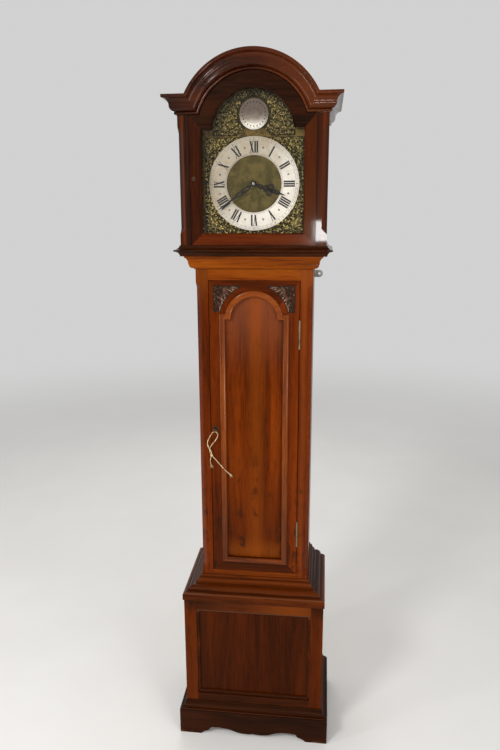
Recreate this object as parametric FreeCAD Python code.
import FreeCAD, Part
import math
import os

Vector = FreeCAD.Vector

# Frame: X to the right, Y from front to back, Z up; the origin is under the middle of the case.

# Case: widths across, depths front to back, and heights stacked up from the floor
trunk_width = 300.0
base_projection = 46.5
plinth_projection = 18.5
hood_projection = 31.1
plinth_depth = 277.0
base_forward = 45.0
hood_forward = 24.0
foot_height = 24.0
plinth_height = 78.0
plinth_moulding_height = 23.0
base_height = 353.0
base_moulding_height = 59.0
trunk_bottom_rail = 73.0
door_opening_height = 822.0
trunk_top_rail = 28.0
throat_moulding_height = 33.0
throat_projection = 24.0
hood_base_height = 27.0
hood_base_projection = 16.0
cornice_height = 42.5
cornice_projection = 31.5
arch_shoulder_width = 46.6
arch_centre_drop = 39.0

# Boards
front_board = 20.0
side_board = 14.0
thin_board = 12.0
runner_lap_share = 0.33
roof_board = 8.0
panel_board = 8.0
back_board = 12.0
hood_rail_width = 29.1
hood_post_width = 26.9
mask_board = 5.5
base_stile_width = 34.5
base_top_rail_width = 30.0
base_bottom_rail = 47.0
base_foot_gap = 30.0
rebate_width = 6.0
panel_set_back = 10.0
bead_width = 8.0
bead_depth = 7.0
trunk_stile_width = 31.5
door_gap = 1.6
door_end_gap = 0.8
stop_chamfer_width = 13.5
chamfer_stop_length = 14.0
trunk_chamfer_margin = 12.0
hood_chamfer_margin = 26.0
floor_board_height = 46.0
trunk_tenon = 90.0
arris_radius = 2.5

# Clearances
panel_play = 0.2
sliding_play = 0.3
flat_play = 0.5
running_fit = 0.05
hood_door_gap = 1.0
overrun = 60.0
small_overrun = 2.0
same_point = 0.001

# Trunk door panel and its raised moulding
door_stile_width = 41.9
door_bottom_rail = 43.0
panel_arch_step = 15.3
door_top_rail = 41.6
door_moulding_width = 16.5
door_moulding_proud = 6.0
door_moulding_round = 5.0
door_panel_recess = 6.0
carving_proud = 2.4
carving_from_door_edge = 10.9
carving_inner_share = 0.603
carving_top_share = 0.3125
carving_above_arch_centre = 19.3
carving_from_arch = 29.3

# Hood door
hood_door_stile_width = 29.7
hood_door_bottom_rail = 29.0
hood_door_top_rail = 32.6
hood_door_arch_rail = 34.5
glass_arch_centre_drop = 3.5
glass_thickness = 3.0
glass_rebate_width = 5.0
glass_set_back = 10.0
sight_edge_round = 3.0
hood_pivot_inset = 2.0
hood_pivot_radius = 1.5
hood_pivot_length = 8.0
hood_pivot_collar_radius = 1.9
hood_pivot_collar = 0.6
hood_lock_rise = 12.0
hood_lock_from_edge = 9.2
hood_lock_radius = 4.5
hood_lock_thickness = 1.5
hood_keyhole_radius = 1.6

# Dial
dial_from_hood_side = 54.1
dial_above_glass_shoulder = 1.6
dial_arch_lap = 6.0
dial_behind_hood = 35.0
dial_plate_thickness = 2.5
mask_lap = 1.5
ring_from_dial_edge = 15.5
ring_width = 43.4
ring_thickness = 2.5
boss_rise = 46.5
boss_radius = 35.2
boss_thickness = 2.5
spandrel_thickness = 1.5
spandrel_margin = 5.0
spandrel_ring_gap = 1.5
arch_ornament_drop = 16.0
dial_foot_radius = 3.0
dial_foot_x = 60.0
dial_foot_low = 76.0
dial_foot_high = 60.0
dial_hole_radius = 5.0
dial_screw_radius = 3.0
dial_screw_from_edge = 9.5
dial_screw_height = 2.0

# Hands
minute_hand_inside_ring = 1.5
hour_hand_over_ring = 8.9
minute_hand_angle = 235.2
hour_hand_angle = 109.6
hand_thickness = 1.2
hand_eye_radius = 7.0
hand_blade_width = 6.0
hand_waist_width = 2.6
hour_loop_radius = 7.6
hour_loop_distance = 41.0
hour_crossing_radius = 2.8
minute_loop_length = 48.0
minute_loop_width = 10.0
hand_strand_width = 2.6
hand_collar_radius = 2.9
hour_hand_stand_off = 5.0
minute_hand_stand_off = 9.5
hand_nut_radius = 3.6
hand_nut_thickness = 2.2

# Movement: plates and arbors
plate_thickness = 3.0
plate_width = 150.0
plate_top_rise = 81.0
plate_gap = 60.0
front_plate_behind_dial = 22.5
seatboard_rise = 36.0
dial_above_seatboard = 111.0
seatboard_thickness = 20.0
seatboard_depth = 75.0
seatboard_front_gap = 10.0
chain_slot_width = 46.0
chain_slot_depth = 13.0
pillar_radius = 5.0
pillar_from_side = 10.0
pillar_from_edge = 12.0
arbor_radius = 1.2
pivot_radius = 0.8
arbor_end_play = 0.3
wheel_thickness = 2.5
pinion_length = 9.0
wheel_rim = 4.0
wheel_hub_radius = 6.0
crossing_width = 4.0
great_module = 0.75
centre_module = 0.70
third_module = 0.65
pin_module = 0.65
warning_module = 0.55
escape_radius = 17.0
escape_tooth_depth = 3.5
plane_step = 12.0
first_plane = 8.0
chain_wheel_radius = 16.0
chain_wheel_flange = 3.0
chain_wheel_flange_thickness = 1.2
chain_radius = 1.6
chain_groove_play = 0.4
chain_plane_from_front = 29.5
fly_vane_radius = 11.0
fly_vane_length = 16.0
fly_vane_thickness = 0.8
lift_pin_circle_radius = 14.0
lift_pin_radius = 0.9
lift_pin_length = 5.0

# Motion work in front of the front plate
cannon_module = 0.625
hour_module = 0.60
cannon_pipe_radius = 2.6
centre_arbor_radius = 1.5
hour_pipe_radius = 4.0
motion_wheel_thickness = 1.8
motion_front_gap = 3.0
motion_stud_radius = 1.5
hour_wheel_forward = 5.5

# Teeth counts and the shares of a tooth
great_teeth = 96
centre_teeth = 64
third_teeth = 60
escape_teeth = 30
going_leaves = 8
strike_great_teeth = 78
pin_teeth = 56
warning_teeth = 48
pin_leaves = 8
upper_leaves = 7
cannon_teeth = 12
minute_wheel_teeth = 36
minute_pinion_teeth = 10
hour_wheel_teeth = 40
lift_pin_count = 8
crossing_count = 4
tooth_tip_share = 0.14
tooth_root_share = 0.42
addendum_share = 0.70
dedendum_share = 1.20

# Escapement and pendulum
pallet_arbor_above_arms = 4.1615
pallet_arm_radius = 21.5
pallet_arm_width = 4.0
pallet_tip_share = 0.33
stem_lap_share = 0.25
pallet_span_angle = 50.0
pallet_play = 1.2
crutch_length = 118.0
crutch_width = 5.0
crutch_thickness = 2.0
crutch_behind_plate = 4.0
crutch_fork_gap = 0.4
crutch_fork_width = 2.5
cock_behind_plate = 10.0
cock_web_thickness = 3.0
cock_half_width = 14.0
cock_leg_width = 4.0
cock_drop = 16.0
cock_rise = 12.0
cock_arm_gap = 1.0
pendulum_behind_plate = 18.0
pendulum_length = 994.0
pendulum_rod_radius = 3.0
spring_width = 8.0
spring_thickness = 0.5
spring_length = 18.0
spring_block_width = 12.0
spring_block_thickness = 6.0
spring_block_length = 10.0
bob_radius = 56.0
bob_thickness = 28.0
bob_edge = 3.0
rating_nut_radius = 9.0
rating_nut_thickness = 6.0
rod_below_nut = 12.0

# Weights and chains
weight_radius = 28.0
weight_length = 190.0
weight_drop = 890.0
weight_cap_radius = 7.0
weight_cap_height = 12.0
weight_hook_radius = 6.0
weight_hook_wire = 1.5
weight_edge_round = 4.0
chain_tail_length = 350.0
chain_ring_radius = 6.0
chain_ring_wire = 1.0

# Hammer and rod gong
hammer_x = 62.0
hammer_drop = 5.0
hammer_arm_length = 44.0
hammer_arm_radius = 1.5
hammer_head_radius = 5.0
hammer_head_length = 14.0
hammer_reach_share = 0.25
hammer_tail_play = 1.2
hammer_tail_width = 3.0
hammer_from_back = 26.0
gong_rod_radius = 1.6
gong_rod_length = 340.0
gong_rod_spacing = 12.0
gong_rod_from_back = 14.0
gong_block_width = 26.0
gong_block_height = 20.0
gong_block_lap_share = 0.25
gong_step_share = 0.12
gong_play = 1.0
gong_block_rise = 86.0

# Hinges, lock and key of the trunk door
hinge_length = 75.0
hinge_knuckle_count = 3
hinge_from_door_bottom = 86.0
hinge_from_door_top = 176.0
hinge_knuckle_radius = 2.6
hinge_pin_radius = 1.1
hinge_leaf_thickness = 0.7
hinge_leaf_depth = 18.0
hinge_axis_proud = 1.0
lock_rise = 424.0
lock_from_door_edge = 11.9
lock_case_width = 36.0
lock_case_height = 52.0
lock_case_depth = 8.5
bolt_thickness = 5.0
bolt_height = 11.0
bolt_length = 26.0
bolt_travel = 9.0
bolt_above_key = 10.0
bolt_from_back = 2.0
key_shank_radius = 2.5
key_shank_proud = 10.0
key_bow_radius = 7.0
key_bow_wire = 1.5
key_bit_length = 7.0
key_bit_depth = 3.0
key_bit_thickness = 1.6
key_cavity_radius = 9.0
escutcheon_half_width = 5.0
escutcheon_half_height = 9.0
escutcheon_thickness = 0.8

# Wall plate on the right of the backboard
wall_plate_drop = 27.0
wall_plate_thickness = 2.0
wall_plate_half_height = 10.0
wall_plate_hole_beyond_trunk = 13.0
wall_plate_inside_trunk = 32.0
wall_plate_hole_radius = 3.2

# String tied to the key, along its own route
string_diameter = 2.3
string_knot_radius = 4.2
bend_reach_share = 0.45

# Places worked out from the sizes
case_back = plinth_depth / 2
plinth_front = -plinth_depth / 2
base_front = plinth_front + plinth_projection
trunk_front = base_front + base_forward
hood_front = trunk_front - hood_forward
trunk_half = trunk_width / 2
base_half = trunk_half + base_projection
plinth_half = base_half + plinth_projection
hood_half = trunk_half + hood_projection
base_top_height = plinth_height + base_height
base_bottom_rail_top = plinth_height + base_bottom_rail
door_bottom_height = base_top_height + trunk_bottom_rail
door_top_height = door_bottom_height + door_opening_height
throat_bottom_height = door_top_height + trunk_top_rail
throat_top_height = throat_bottom_height + throat_moulding_height
hood_floor_height = throat_top_height + hood_base_height
dial_half = hood_half - dial_from_hood_side
seatboard_height = hood_floor_height + seatboard_rise
seatboard_top = seatboard_height + seatboard_thickness
dial_centre_height = seatboard_height + dial_above_seatboard
dial_shoulder_height = dial_centre_height + dial_half
glass_shoulder_height = dial_shoulder_height - dial_above_glass_shoulder
hood_shoulder_height = glass_shoulder_height + hood_door_top_rail
cornice_top_height = hood_shoulder_height + cornice_height
arch_centre_height = hood_shoulder_height - arch_centre_drop
arch_moulding_radius = hood_half - arch_shoulder_width
arch_outer_radius = arch_moulding_radius + cornice_height
dial_front = hood_front + dial_behind_hood
dial_back = dial_front + dial_plate_thickness
front_plate_front = dial_back + front_plate_behind_dial
front_plate_back = front_plate_front + plate_thickness
back_plate_front = front_plate_back + plate_gap
back_plate_back = back_plate_front + plate_thickness
glass_half_width = hood_half - hood_post_width - hood_door_gap - hood_door_stile_width
glass_bottom_height = hood_floor_height + hood_door_bottom_rail
glass_arch_radius = arch_moulding_radius - hood_door_arch_rail
glass_arch_centre_height = arch_centre_height - glass_arch_centre_drop
dial_arch_radius = glass_arch_radius + dial_arch_lap
ring_outer_radius = dial_half - ring_from_dial_edge
ring_inner_radius = ring_outer_radius - ring_width
boss_height = glass_arch_centre_height + boss_rise
arch_ornament_bottom = dial_shoulder_height - arch_ornament_drop
minute_hand_length = ring_outer_radius - minute_hand_inside_ring
hour_hand_length = ring_inner_radius + hour_hand_over_ring
hood_lock_height = dial_centre_height + hood_lock_rise
plate_top_height = dial_centre_height + plate_top_rise
weight_bottom_height = seatboard_height - weight_drop
backboard_front = case_back - back_board
hood_side_inner = hood_half - thin_board
trunk_side_inner = trunk_half - side_board
stile_inner = trunk_half - trunk_stile_width
door_half = stile_inner - door_gap
panel_half_width = door_half - door_stile_width
panel_bottom_height = door_bottom_height + door_bottom_rail
panel_arch_radius = panel_half_width - panel_arch_step
panel_arch_centre_height = door_top_height - door_top_rail - panel_arch_radius
carving_outer_half_width = door_half - carving_from_door_edge
carving_inner_half_width = panel_arch_radius * carving_inner_share
carving_top_height = door_top_height - door_top_rail * carving_top_share
carving_bottom_height = panel_arch_centre_height + carving_above_arch_centre
carving_arc_radius = panel_arch_radius + carving_from_arch
hinge_low_height = door_bottom_height + hinge_from_door_bottom
hinge_high_height = door_top_height - hinge_from_door_top
lock_height = door_bottom_height + lock_rise
wall_plate_height = throat_bottom_height - wall_plate_drop
wall_plate_hole_x = trunk_half + wall_plate_hole_beyond_trunk
wall_plate_inner_x = trunk_half - wall_plate_inside_trunk


def rounded(value):
    return round(value, 3)


def box(x0, x1, y0, y1, z0, z1):
    return Part.makeBox(x1 - x0, y1 - y0, z1 - z0, Vector(x0, y0, z0))


def mirrored_pair(shape):
    return [shape, shape.mirror(Vector(0, 0, 0), Vector(1, 0, 0))]


def rod_y(x, z, radius, y0, y1):
    return Part.makeCylinder(radius, y1 - y0, Vector(x, y0, z), Vector(0, 1, 0))


def rod_z(x, y, radius, z0, z1):
    return Part.makeCylinder(radius, z1 - z0, Vector(x, y, z0), Vector(0, 0, 1))


def closed_face(start, steps, place):
    """A step is a point for a line, or a pair of points for an arc through the first."""
    edges = []
    here = place(*start)
    for step in steps:
        if isinstance(step[0], tuple):
            middle = place(*step[0])
            end = place(*step[1])
            edges.append(Part.Arc(here, middle, end).toShape())
        else:
            end = place(*step)
            edges.append(Part.LineSegment(here, end).toShape())
        here = end
    first = place(*start)
    if not here.isEqual(first, same_point):
        edges.append(Part.LineSegment(here, first).toShape())
    return Part.Face(Part.Wire(edges))


def prism_xz(points, y0, y1):
    face = closed_face(points[0], points[1:], lambda x, z: Vector(x, y0, z))
    return face.extrude(Vector(0, y1 - y0, 0))


def prism_xy(points, z0, z1):
    face = closed_face(points[0], points[1:], lambda x, y: Vector(x, y, z0))
    return face.extrude(Vector(0, 0, z1 - z0))


def ring_y(x, z, outer, inner, y0, y1):
    ring = rod_y(x, z, outer, y0, y1)
    return ring.cut(rod_y(x, z, inner, y0 - small_overrun, y1 + small_overrun))


def export(name, *solids):
    pieces = []
    for solid in solids:
        pieces.extend(solid.Solids)
    for piece in pieces:
        if not piece.isValid():
            print("not valid:", name)
    shape = pieces[0] if len(pieces) == 1 else Part.makeCompound(pieces)
    shape.exportStep("parts/" + name + ".step")
    print(name, len(pieces), "solids")


def moulding_face(shares, projection, height, place):
    """The shares are of the projection and of the height, from the foot of the face outwards and up."""
    def scaled(pair):
        return (pair[0] * projection, pair[1] * height)
    steps = []
    for step in shares:
        if isinstance(step[0], tuple):
            steps.append((scaled(step[0]), scaled(step[1])))
        else:
            steps.append(scaled(step))
    return closed_face((0, 0), steps, place)


def mitred_front(half, front, inward, z0, z1):
    reach = overrun
    points = [(-(half + reach), front - reach), (half + reach, front - reach),
              (half - inward, front + inward), (-(half - inward), front + inward)]
    return prism_xy(points, z0 - small_overrun, z1 + small_overrun)


def mitred_side(half, front, inward, z0, z1):
    reach = overrun
    points = [(half - inward, front + inward), (half + reach, front - reach),
              (half + reach, case_back), (half - inward, case_back)]
    return prism_xy(points, z0 - small_overrun, z1 + small_overrun)


def mitred_moulding(shares, half, front, bottom, projection, height):
    """Three lengths of one section round the front and both sides, mitred at the front corners."""
    long = half + overrun
    face = moulding_face(shares, projection, height,
                         lambda out, up: Vector(-long, front - out, bottom + up))
    front_run = face.extrude(Vector(long + long, 0, 0))
    front_run = front_run.common(mitred_front(half, front, small_overrun, bottom, bottom + height))
    face = moulding_face(shares, projection, height,
                         lambda out, up: Vector(half + out, front - overrun, bottom + up))
    side_run = face.extrude(Vector(0, case_back - front + overrun, 0))
    side_run = side_run.common(mitred_side(half, front, small_overrun, bottom, bottom + height))
    return [front_run] + mirrored_pair(side_run)


def stop_chamfer_cutter(half, front, low, high):
    """Takes off the corner of a post between two sloping stops."""
    depth = stop_chamfer_width / math.sqrt(2)
    root = Vector(half - stop_chamfer_width, front, 0)
    outward = Vector(1, -1, 0).normalize()
    along = Vector(1, 1, 0).normalize()
    grow = (depth + small_overrun) / depth

    def place(out, up):
        return root + outward * out + Vector(0, 0, up) - along * small_overrun
    points = [(0, high - chamfer_stop_length), (0, low + chamfer_stop_length),
              (depth * grow, low - chamfer_stop_length * (grow - 1)),
              (depth * grow, high + chamfer_stop_length * (grow - 1))]
    face = closed_face(points[0], points[1:], place)
    return face.extrude(along * (stop_chamfer_width * math.sqrt(2) + small_overrun * 2))


def break_arch_steps(half, bottom, shoulder, radius, centre):
    """The outline of a rectangle with a round arch standing on its shoulders."""
    foot = math.sqrt(radius ** 2 - (shoulder - centre) ** 2)
    return [(-half, bottom), (half, bottom), (half, shoulder), (foot, shoulder),
            ((0, centre + radius), (-foot, shoulder)), (-half, shoulder)]


def break_arch_prism(half, bottom, shoulder, radius, centre, y0, y1):
    return prism_xz(break_arch_steps(half, bottom, shoulder, radius, centre), y0, y1)


# Shares of each moulding's projection and height, from the face outwards and up
cornice_shares = [(0.10, 0.0), ((0.20, 0.08), (0.10, 0.16)), (0.17, 0.16), ((0.40, 0.25), (0.51, 0.46)),
                  ((0.61, 0.69), (0.86, 0.82)), (0.93, 0.82), ((0.985, 0.85), (1.0, 0.90)), (1.0, 1.0),
                  (0.0, 1.0)]
throat_shares = [(0.14, 0.0), (0.14, 0.07), ((0.44, 0.13), (0.58, 0.38)), (0.64, 0.38),
                 ((0.71, 0.68), (0.90, 0.88)), (1.0, 0.88), (1.0, 1.0), (0.0, 1.0)]
hood_base_shares = [(0.15, 0.0), ((0.36, 0.30), (0.84, 0.44)), (0.96, 0.46), ((1.0, 0.53), (0.95, 0.60)),
                    ((0.48, 0.70), (0.15, 0.96)), (0.15, 1.0), (0.0, 1.0)]
base_moulding_shares = [(1.0, 0.0), (1.0, 0.25), ((0.98, 0.31), (0.92, 0.335)), (0.73, 0.38), (0.73, 0.43),
                        ((0.63, 0.55), (0.38, 0.60)), (0.335, 0.60), (0.335, 0.70),
                        ((0.235, 0.75), (0.19, 0.86)), (0.165, 0.86), (0.165, 0.90),
                        ((0.085, 0.93), (0.05, 1.0)), (0.0, 1.0)]
plinth_moulding_shares = [(0.86, 0.0), (0.86, 0.14), ((0.36, 0.32), (0.17, 0.80)), (0.17, 0.88),
                          (0.08, 1.0), (0.0, 1.0)]

# Shares of half the plinth's width and of the foot's height along the apron's lower edge
foot_length_share = 0.288
apron_edge_shares = [((0.655, 0.40), (0.640, 0.46)), ((0.612, 0.52), (0.588, 0.86)), (0.560, 1.0),
                     (0.500, 1.0), ((0.340, 0.90), (0.240, 0.60)), ((0.130, 0.42), (0.0, 0.50))]


def plinth_board(half):
    """A board in the XZ plane, from X -half to half, with its feet and shaped apron cut."""
    foot_end = 1 - foot_length_share

    def scaled(pair, side):
        return (side * pair[0] * half, pair[1] * foot_height)
    steps = [(half, 0), (half * foot_end, 0)]
    for middle_or_point in apron_edge_shares:
        if isinstance(middle_or_point[0], tuple):
            steps.append((scaled(middle_or_point[0], 1), scaled(middle_or_point[1], 1)))
        else:
            steps.append(scaled(middle_or_point, 1))
    ends = [(foot_end, 0)]
    for step in apron_edge_shares:
        ends.append(step[1] if isinstance(step[0], tuple) else step)
    for index in range(len(apron_edge_shares) - 1, -1, -1):
        step = apron_edge_shares[index]
        if isinstance(step[0], tuple):
            steps.append((scaled(step[0], -1), scaled(ends[index], -1)))
        else:
            steps.append(scaled(ends[index], -1))
    steps += [(-half, 0), (-half, plinth_height), (half, plinth_height)]
    return steps


def make_plinth():
    thickness = plinth_half - base_half
    steps = plinth_board(plinth_half)
    board = prism_xz(steps, plinth_front, plinth_front + thickness)
    board = board.common(mitred_front(plinth_half, plinth_front, thickness, 0, plinth_height))
    depth_half = (case_back - plinth_front) / 2
    middle = (case_back + plinth_front) / 2
    face_steps = plinth_board(depth_half)
    face = closed_face(face_steps[0], face_steps[1:],
                       lambda y, z: Vector(base_half, middle + y, z))
    side = face.extrude(Vector(thickness, 0, 0))
    side = side.common(mitred_side(plinth_half, plinth_front, thickness, 0, plinth_height))
    export("plinth", board, *mirrored_pair(side))
    export("plinth_moulding", *mitred_moulding(plinth_moulding_shares, base_half, base_front,
                                               plinth_height, plinth_half - base_half,
                                               plinth_moulding_height))


def make_base():
    back = base_front + front_board
    inner = base_half - base_stile_width
    rail_low = base_top_height - base_top_rail_width
    stile = box(inner, base_half, base_front, back, base_foot_gap, base_top_height)
    top_rail = box(-inner, inner, base_front, back, rail_low, base_top_height)
    bottom_rail = box(-inner, inner, base_front, back, base_foot_gap, base_bottom_rail_top)
    rebate = box(-(inner + rebate_width), inner + rebate_width, base_front + panel_set_back,
                 back + small_overrun,
                 base_bottom_rail_top - rebate_width, rail_low + rebate_width)
    bead_back = base_front + panel_set_back
    bead_front = bead_back - bead_depth
    cutter_half = inner - bead_width
    outer = box(-inner, inner, bead_front, bead_back, base_bottom_rail_top, rail_low)
    hollow = box(-cutter_half, cutter_half, bead_front - small_overrun, bead_back + small_overrun,
                 base_bottom_rail_top + bead_width, rail_low - bead_width)
    bead = outer.cut(hollow)
    inner_edges = [edge for edge in bead.Edges
                   if abs(edge.CenterOfMass.y - bead_front) < panel_play
                   and abs(edge.CenterOfMass.x) < inner - panel_play
                   and base_bottom_rail_top + panel_play < edge.CenterOfMass.z < rail_low - panel_play]
    bead = bead.makeFillet(bead_depth - arris_radius / 2, inner_edges)
    corner = bead_width
    left_right = []
    for side in (1, -1):
        points = [(side * inner, base_bottom_rail_top), (side * inner, rail_low),
                  (side * (inner - corner), rail_low - corner),
                  (side * (inner - corner), base_bottom_rail_top + corner)]
        left_right.append(prism_xz(points, bead_front - small_overrun, bead_back + small_overrun))
    upright_beads = [bead.common(zone) for zone in left_right]
    flat_beads = []
    for low, high in ((base_bottom_rail_top, base_bottom_rail_top + corner), (rail_low, rail_low - corner)):
        points = [(-inner, low), (inner, low), (inner - corner, high), (-(inner - corner), high)]
        flat_beads.append(bead.common(prism_xz(points, bead_front - small_overrun,
                                               bead_back + small_overrun)))
    pieces = [piece.cut(rebate) for piece in mirrored_pair(stile)]
    pieces += [top_rail.cut(rebate), bottom_rail.cut(rebate)]
    export("base_frame", *(pieces + upright_beads + flat_beads))
    lap = rebate_width - panel_play
    export("base_panel", box(-(inner + lap), inner + lap, bead_back, bead_back + panel_board,
                             base_bottom_rail_top - lap, rail_low + lap))
    side = box(base_half - thin_board, base_half, back, case_back, base_foot_gap, base_top_height)
    floor = box(-(base_half - thin_board), base_half - thin_board, back, backboard_front,
                floor_board_height, floor_board_height + thin_board)
    export("base_carcass", floor, *mirrored_pair(side))
    export("base_moulding", *mitred_moulding(base_moulding_shares, trunk_half, trunk_front, base_top_height,
                                             base_half - trunk_half + small_overrun + flat_play * 2,
                                             base_moulding_height))


def hinge_cutters():
    axis_x = door_half + door_gap / 2
    axis_y = trunk_front - hinge_axis_proud
    radius = hinge_knuckle_radius + sliding_play / 2
    cutters = []
    for low in (hinge_low_height, hinge_high_height):
        cutters.append(rod_z(axis_x, axis_y, radius, low - sliding_play, low + hinge_length + sliding_play))
    return cutters


def make_trunk():
    back = trunk_front + front_board
    stile = box(stile_inner, trunk_half, trunk_front, back, base_top_height, throat_top_height)
    chamfer = stop_chamfer_cutter(trunk_half, trunk_front,
                                  base_top_height + base_moulding_height + trunk_chamfer_margin,
                                  door_top_height - trunk_chamfer_margin / 2)
    stile = stile.cut(chamfer)
    right, left = mirrored_pair(stile)
    for cutter in hinge_cutters():
        right = right.cut(cutter)
    bolt_z = lock_height + bolt_above_key
    bolt_y = back - bolt_from_back - bolt_thickness
    pocket = box(-(stile_inner + bolt_travel + flat_play), -(stile_inner - small_overrun),
                 bolt_y - flat_play, bolt_y + bolt_thickness + flat_play,
                 bolt_z - bolt_height / 2 - flat_play, bolt_z + bolt_height / 2 + flat_play)
    left = left.cut(pocket)
    top_rail = box(-stile_inner, stile_inner, trunk_front, back, door_top_height, throat_top_height)
    bottom_rail = box(-stile_inner, stile_inner, trunk_front, back, base_top_height, door_bottom_height)
    export("trunk_front_frame", right, left, top_rail, bottom_rail)
    side = box(trunk_side_inner, trunk_half, back, case_back, base_top_height - trunk_tenon,
               seatboard_height)
    plate_zone = box(wall_plate_inner_x - small_overrun, trunk_half + small_overrun,
                     case_back - wall_plate_thickness, case_back + small_overrun,
                     wall_plate_height - wall_plate_half_height, wall_plate_height + wall_plate_half_height)
    side_right, side_left = mirrored_pair(side)
    runner = box(trunk_half, hood_side_inner - thin_board * runner_lap_share, back,
                 backboard_front - flat_play, hood_floor_height + sliding_play,
                 hood_floor_height + thin_board)
    export("trunk_sides", side_right.cut(plate_zone), side_left, *mirrored_pair(runner))
    export("throat_moulding", *mitred_moulding(throat_shares, trunk_half, trunk_front, throat_bottom_height,
                                               throat_projection, throat_moulding_height))
    ear_half = hood_side_inner - flat_play
    roof_under = cornice_top_height - roof_board - flat_play
    arch = arch_outer_radius - roof_board - small_overrun
    foot = math.sqrt(arch ** 2 - (roof_under - arch_centre_height) ** 2)
    main = box(-trunk_side_inner, trunk_side_inner, backboard_front, case_back, base_foot_gap, roof_under)
    main = main.cut(plate_zone)
    ear = box(trunk_side_inner, ear_half, backboard_front, case_back, seatboard_height, roof_under)
    low_ear = box(trunk_half, ear_half, backboard_front, case_back, throat_top_height + hood_base_height,
                  seatboard_height)
    low_ear = low_ear.cut(box(trunk_half - small_overrun, ear_half + small_overrun,
                              backboard_front - small_overrun,
                              case_back + small_overrun, 0, hood_floor_height + flat_play))
    crown = prism_xz([(-foot, roof_under), (foot, roof_under),
                      ((0, arch_centre_height + arch), (-foot, roof_under))], backboard_front, case_back)
    base_ear = box(trunk_side_inner, base_half - thin_board, backboard_front, case_back,
                   base_foot_gap, base_top_height - trunk_tenon)
    base_ear_high = box(trunk_half, base_half - thin_board, backboard_front, case_back,
                        base_top_height - trunk_tenon, base_top_height)
    pieces = [main, crown]
    for piece in (ear, low_ear, base_ear, base_ear_high):
        pieces += mirrored_pair(piece)
    export("backboard", *pieces)


def make_wall_plate():
    y0 = case_back - wall_plate_thickness
    plate = box(wall_plate_inner_x, wall_plate_hole_x, y0, case_back,
                wall_plate_height - wall_plate_half_height, wall_plate_height + wall_plate_half_height)
    plate = plate.fuse(rod_y(wall_plate_hole_x, wall_plate_height, wall_plate_half_height, y0, case_back))
    plate = plate.cut(rod_y(wall_plate_hole_x, wall_plate_height, wall_plate_hole_radius,
                            y0 - small_overrun, case_back + small_overrun))
    export("wall_plate", plate.removeSplitter())


def make_seatboard():
    front = front_plate_front - seatboard_front_gap + plate_thickness
    board = box(-trunk_half, trunk_half, front, front + seatboard_depth, seatboard_height, seatboard_top)
    chain_y = front_plate_front + chain_plane_from_front
    for place in (great_place, strike_great_place):
        slot = box(place[0] - chain_slot_width / 2, place[0] + chain_slot_width / 2,
                   chain_y - chain_slot_depth / 2, chain_y + chain_slot_depth / 2,
                   seatboard_height - small_overrun, seatboard_top + small_overrun)
        board = board.cut(slot)
    export("seatboard", board)


def arch_zone(y0, y1):
    """The space above the two mitres where the straight cornice meets the arched one."""
    low_x = math.sqrt(arch_moulding_radius ** 2 - (hood_shoulder_height - arch_centre_height) ** 2)
    high_x = math.sqrt(arch_outer_radius ** 2 - (cornice_top_height - arch_centre_height) ** 2)
    slope = (high_x - low_x) / cornice_height
    top = arch_centre_height + arch_outer_radius + overrun
    far_x = low_x + slope * (top - hood_shoulder_height)
    points = [(-low_x, hood_shoulder_height), (low_x, hood_shoulder_height), (far_x, top), (-far_x, top)]
    return prism_xz(points, y0, y1)


def make_hood():
    post_inner = hood_half - hood_post_width
    post_back = hood_front + front_board + flat_play
    post = box(post_inner, hood_half, hood_front, post_back, hood_floor_height, hood_shoulder_height)
    post = post.cut(stop_chamfer_cutter(hood_half, hood_front, hood_floor_height + hood_chamfer_margin,
                                        hood_shoulder_height - hood_chamfer_margin))
    front_rail = box(-hood_half, hood_half, hood_front, post_back, throat_top_height, hood_floor_height)
    side_rail = box(hood_half - hood_rail_width, hood_half, post_back, case_back,
                    throat_top_height, hood_floor_height)
    board_radius = arch_outer_radius - roof_board
    board_top = cornice_top_height - roof_board
    arch_board = break_arch_prism(hood_half, hood_shoulder_height, board_top, board_radius,
                                  arch_centre_height, hood_front, post_back)
    arch_board = arch_board.cut(rod_y(0, arch_centre_height, arch_moulding_radius,
                                      hood_front - small_overrun, post_back + small_overrun))
    pin_x = post_inner - hood_door_gap - hood_pivot_inset
    pin_y = hood_front + hood_pivot_inset
    socket = hood_pivot_radius + running_fit
    front_rail = front_rail.cut(rod_z(pin_x, pin_y, socket,
                                      hood_floor_height - hood_pivot_length - sliding_play,
                                      hood_floor_height + small_overrun))
    arch_board = arch_board.cut(rod_z(pin_x, pin_y, socket, hood_shoulder_height - small_overrun,
                                      hood_shoulder_height + hood_pivot_length + sliding_play))
    export("hood_frame", *(mirrored_pair(post) + [front_rail, arch_board] + mirrored_pair(side_rail)))
    side = box(hood_side_inner, hood_half, post_back, case_back, hood_floor_height, board_top)
    export("hood_sides", *mirrored_pair(side))
    roof = break_arch_prism(hood_half, hood_shoulder_height, cornice_top_height, arch_outer_radius,
                            arch_centre_height, hood_front, case_back)
    roof = roof.cut(break_arch_prism(hood_half + small_overrun, hood_shoulder_height - small_overrun,
                                     board_top,
                                     board_radius, arch_centre_height, hood_front - small_overrun,
                                     case_back + small_overrun))
    zone = arch_zone(hood_front - small_overrun, case_back + small_overrun)
    shoulders = roof.cut(zone)
    shell = roof.common(zone)
    export("hood_roof", shell, shoulders)
    export("hood_base_moulding", *mitred_moulding(hood_base_shares, hood_half, hood_front, throat_top_height,
                                                  hood_base_projection, hood_base_height))
    make_cornice()


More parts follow.
